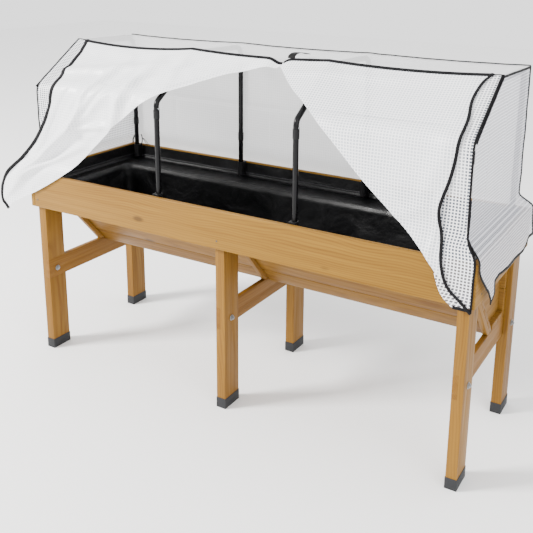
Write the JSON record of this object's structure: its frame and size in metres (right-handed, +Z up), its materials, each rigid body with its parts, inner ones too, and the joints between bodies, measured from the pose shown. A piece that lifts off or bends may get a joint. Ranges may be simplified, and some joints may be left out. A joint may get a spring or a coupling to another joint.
{
  "type": "cold frame",
  "caption": "Raised wooden trough planter on legs with a black liner and a hooped, grid-cloth cold-frame cover whose front flaps are drawn back to the ends.",
  "frame": {"origin": "on the floor under the middle of the trough: halfway between the outer legs, which is the centre legs' middle plane, and halfway between the front and back legs", "axes": "+X runs along the trough to the right as seen from the front, +Y points to the back, +Z up; the cover's doorway and the sloping planks face -Y"},
  "size_m": [1.9125, 0.62, 1.2512],
  "materials": {
    "leg_wood": "oiled softwood, satin",
    "rim_wood": "oiled softwood, satin",
    "plank_wood": "oiled softwood, satin",
    "brace_wood": "oiled softwood, satin",
    "foot_plastic": "moulded, matte",
    "liner_fabric": "spun polypropylene, matte",
    "hoop_steel": "powder coated, satin",
    "hoop_plastic": "moulded, satin",
    "bracket_plastic": "moulded, matte",
    "zinc_steel": "zinc plated",
    "cover_cloth": "grid-reinforced polythene cloth, translucent",
    "webbing": "woven tape, black"
  },
  "bodies": {
    "planter": {"leg_front_left": "leg_wood", "leg_front_centre": "leg_wood", "leg_front_right": "leg_wood", "leg_back_left": "leg_wood", "leg_back_centre": "leg_wood", "leg_back_right": "leg_wood", "brace_left": "brace_wood", "rafter_left": "brace_wood", "brace_centre": "brace_wood", "rafter_centre": "brace_wood", "brace_right": "brace_wood", "rafter_right": "brace_wood", "slope_plank_1": "plank_wood", "slope_plank_2": "plank_wood", "slope_plank_3": "plank_wood", "slope_plank_4": "plank_wood", "slope_plank_5": "plank_wood", "back_plank_1": "plank_wood", "back_plank_2": "plank_wood", "back_plank_3": "plank_wood", "floor_board_front": "plank_wood", "floor_board_back": "plank_wood", "end_panel_left": "plank_wood", "end_panel_right": "plank_wood", "rim_board_front": "rim_wood", "rim_board_back": "rim_wood", "rim_board_left": "rim_wood", "rim_board_right": "rim_wood", "foot_cap_front_left": "foot_plastic", "foot_cap_front_centre": "foot_plastic", "foot_cap_front_right": "foot_plastic", "foot_cap_back_left": "foot_plastic", "foot_cap_back_centre": "foot_plastic", "foot_cap_back_right": "foot_plastic", "liner": "liner_fabric", "hoop_sockets_front": "bracket_plastic", "hoop_sockets_back": "bracket_plastic", "brace_bolts": "zinc_steel", "board_screws": "zinc_steel"},
    "hoop_frame": {"hoop_front_tube_1": "hoop_steel", "hoop_front_tube_2": "hoop_steel", "hoop_front_tube_3": "hoop_steel", "hoop_front_tube_4": "hoop_steel", "hoop_arch_1": "hoop_steel", "hoop_arch_2": "hoop_steel", "hoop_arch_3": "hoop_steel", "hoop_arch_4": "hoop_steel", "hoop_sleeves": "hoop_plastic", "hoop_buttons": "zinc_steel"},
    "cover": {"cover_end_left": "cover_cloth", "cover_end_right": "cover_cloth", "cover_strip_left": "cover_cloth", "cover_strip_right": "cover_cloth", "cover_back": "cover_cloth", "cover_top": "cover_cloth", "cover_strap": "webbing"},
    "left_flap": {"flap_left": "cover_cloth"},
    "right_flap": {"flap_right": "cover_cloth"}
  },
  "joints": [
    {"name": "hoops_lift_out", "type": "slide", "parent": "planter", "child": "hoop_frame", "axis": [0, 0, 1], "range_m": [0, 0.12]},
    {"name": "cover_lifts_off", "type": "slide", "parent": "hoop_frame", "child": "cover", "axis": [0, 0, 1], "range_m": [0, 0.7]},
    {"name": "left_flap_turns_up", "type": "hinge", "parent": "cover", "child": "left_flap", "pos_m": [0, -0.0475, 1.249], "axis": [-1, 0, 0], "range_deg": [0, 100]},
    {"name": "right_flap_turns_up", "type": "hinge", "parent": "cover", "child": "right_flap", "pos_m": [0, -0.0475, 1.249], "axis": [-1, 0, 0], "range_deg": [0, 100]}
  ]
}
